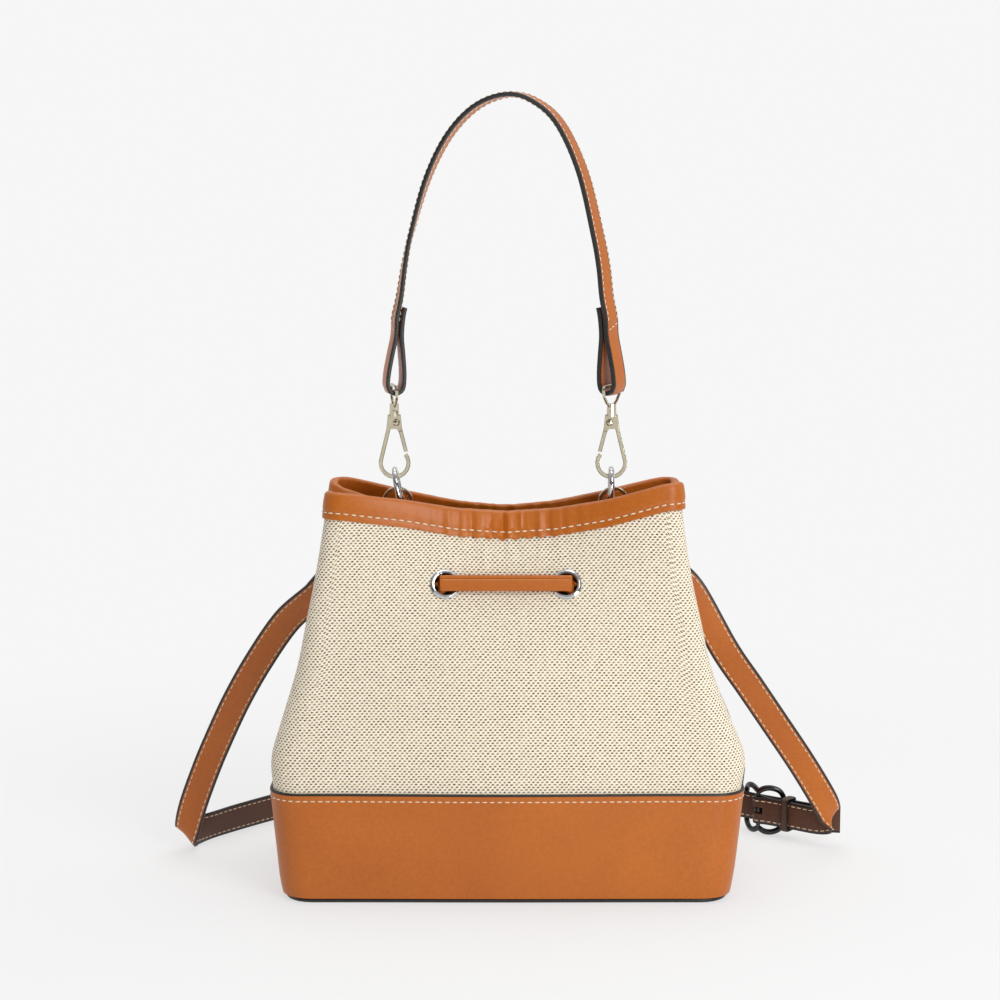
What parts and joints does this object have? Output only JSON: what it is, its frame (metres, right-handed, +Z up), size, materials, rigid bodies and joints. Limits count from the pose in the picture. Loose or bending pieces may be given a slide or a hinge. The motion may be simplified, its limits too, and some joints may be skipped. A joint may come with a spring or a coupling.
{
  "type": "bucket bag",
  "caption": "Small canvas and leather bucket bag with a drawstring, a clip-on top handle and a long buckled strap.",
  "frame": {"origin": "centre of the underside of the base, on the surface the bag stands on", "axes": "+Z up, +X to the right seen from the front, +Y to the back"},
  "size_m": [0.4265, 0.2299, 0.4785],
  "materials": {
    "leather_tan": "smooth tan leather with a soft sheen",
    "leather_inside": "matte dark brown",
    "edge_paint": "black painted edge",
    "canvas": "cream canvas with a small dark dotted weave",
    "lining": "plain woven lining",
    "board": "plain board",
    "chrome": "polished",
    "pale_gold": "polished pale gold plate",
    "gunmetal": "dark polished plate"
  },
  "bodies": {
    "bag": {"base_band_front": "leather_tan", "base_band_back": "leather_tan", "bottom_panel": "leather_inside", "bottom_welt": "edge_paint", "stiffener_board": "board", "canvas_front": "canvas", "canvas_back": "canvas", "lining": "lining", "rim_binding": "leather_tan", "side_seam_left": "edge_paint", "side_seam_right": "edge_paint", "eyelet_front_left": "chrome", "eyelet_front_right": "chrome", "eyelet_back_left": "chrome", "eyelet_back_right": "chrome", "washer_front_left": "chrome", "washer_front_right": "chrome", "washer_back_left": "chrome", "washer_back_right": "chrome", "drawstring": "leather_tan", "drawstring_sleeve": "leather_tan", "ring_tab_left": "leather_tan", "ring_tab_right": "leather_tan", "strap_long_part": "leather_tan", "strap_buckle_part": "leather_tan", "buckle_frame": "gunmetal", "strap_left_swivel_eye": "pale_gold", "strap_right_swivel_eye": "pale_gold", "strap_left_hook_body": "pale_gold", "strap_right_hook_body": "pale_gold", "strap_left_hook_rivet": "pale_gold", "strap_right_hook_rivet": "pale_gold"},
    "ring_left": {"ring_left": "chrome"},
    "ring_right": {"ring_right": "chrome"},
    "handle": {"handle_strap": "leather_tan", "handle_left_swivel_eye": "pale_gold", "handle_right_swivel_eye": "pale_gold"},
    "hook_left": {"handle_left_hook_body": "pale_gold", "handle_left_hook_rivet": "pale_gold"},
    "hook_right": {"handle_right_hook_body": "pale_gold", "handle_right_hook_rivet": "pale_gold"},
    "gate_left": {"handle_left_hook_gate": "pale_gold"},
    "gate_right": {"handle_right_hook_gate": "pale_gold"},
    "strap_gate_left": {"strap_left_hook_gate": "pale_gold"},
    "strap_gate_right": {"strap_right_hook_gate": "pale_gold"},
    "prong": {"buckle_prong": "gunmetal"},
    "keeper": {"strap_keeper": "leather_tan"}
  },
  "joints": [
    {"name": "ring_swing_left", "type": "hinge", "parent": "bag", "child": "ring_left", "pos_m": [-0.0645, 0, 0.2325], "axis": [0, 1, 0], "range_deg": [-3, 3]},
    {"name": "ring_swing_right", "type": "hinge", "parent": "bag", "child": "ring_right", "pos_m": [0.064, 0, 0.2325], "axis": [0, 1, 0], "range_deg": [-3, 3]},
    {"name": "handle_swing", "type": "hinge", "parent": "bag", "child": "handle", "pos_m": [0, 0, 0.2466], "axis": [1, 0, 0], "range_deg": [-90, 90]},
    {"name": "hook_swivel_left", "type": "hinge", "parent": "handle", "child": "hook_left", "pos_m": [-0.06776, 0, 0.2846], "axis": [0, 0, 1], "range_deg": [-15, 15]},
    {"name": "hook_swivel_right", "type": "hinge", "parent": "handle", "child": "hook_right", "pos_m": [0.064, 0, 0.2846], "axis": [0, 0, 1], "range_deg": [-15, 15]},
    {"name": "gate_left_hinge", "type": "hinge", "parent": "hook_left", "child": "gate_left", "pos_m": [-0.06656, 0, 0.28], "axis": [0, 1, 0], "range_deg": [0, 22], "stiffness_Nm_per_rad": 0.01},
    {"name": "gate_right_hinge", "type": "hinge", "parent": "hook_right", "child": "gate_right", "pos_m": [0.0628, 0, 0.28], "axis": [0, -1, 0], "range_deg": [0, 22], "stiffness_Nm_per_rad": 0.01},
    {"name": "strap_gate_left_hinge", "type": "hinge", "parent": "bag", "child": "strap_gate_left", "pos_m": [-0.0817, 0.0034, 0.21088], "axis": [0, -1, 0], "range_deg": [0, 22], "stiffness_Nm_per_rad": 0.01},
    {"name": "strap_gate_right_hinge", "type": "hinge", "parent": "bag", "child": "strap_gate_right", "pos_m": [0.0812, 0.0034, 0.21088], "axis": [0, 1, 0], "range_deg": [0, 22], "stiffness_Nm_per_rad": 0.01},
    {"name": "prong_hinge", "type": "hinge", "parent": "bag", "child": "prong", "pos_m": [0.165, 0.08, 0.0163], "axis": [0, 0, 1], "range_deg": [0, 8]},
    {"name": "keeper_slide", "type": "slide", "parent": "bag", "child": "keeper", "axis": [0.8, -0.6, 0], "range_m": [-0.001, 0.01]}
  ]
}
